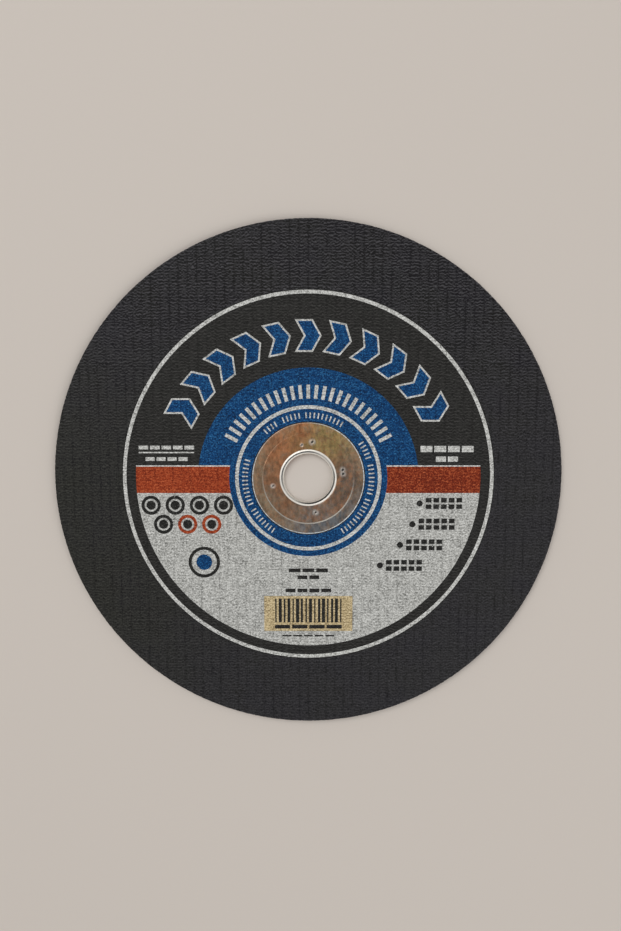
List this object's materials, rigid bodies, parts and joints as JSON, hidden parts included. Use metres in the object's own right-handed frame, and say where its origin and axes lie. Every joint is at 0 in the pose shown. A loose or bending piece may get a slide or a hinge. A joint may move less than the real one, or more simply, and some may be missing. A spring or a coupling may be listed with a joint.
{
  "type": "cut-off wheel",
  "caption": "Flat round abrasive cut-off wheel with a woven reinforced face, a printed paper label and a pressed steel centre ring round the arbor bore.",
  "frame": {"origin": "centre of the back face, on the bore axis: the wheel lies on it, label side up", "axes": "+Z along the bore axis, out of the label side; +Y towards the arched upper half of the label; +X along the band across the label"},
  "size_m": [0.23, 0.23, 0.0032],
  "materials": {
    "abrasive": "matt, woven and gritty",
    "passivated_steel": "yellow passivated, satin",
    "label_paper": "black printed paper, matt",
    "silver_ink": "silver print, mottled",
    "red_ink": "red print, matt",
    "blue_ink": "blue print, matt",
    "white_ink": "white print, mottled",
    "cream_ink": "cream print, matt",
    "black_ink": "black print, matt"
  },
  "bodies": {
    "root": {"abrasive_disc": "abrasive", "centre_ring": "passivated_steel", "label": "label_paper", "silver_print": "silver_ink", "red_print": "red_ink", "blue_print": "blue_ink", "white_print": "white_ink", "cream_print": "cream_ink", "black_print": "black_ink"}
  },
  "joints": []
}
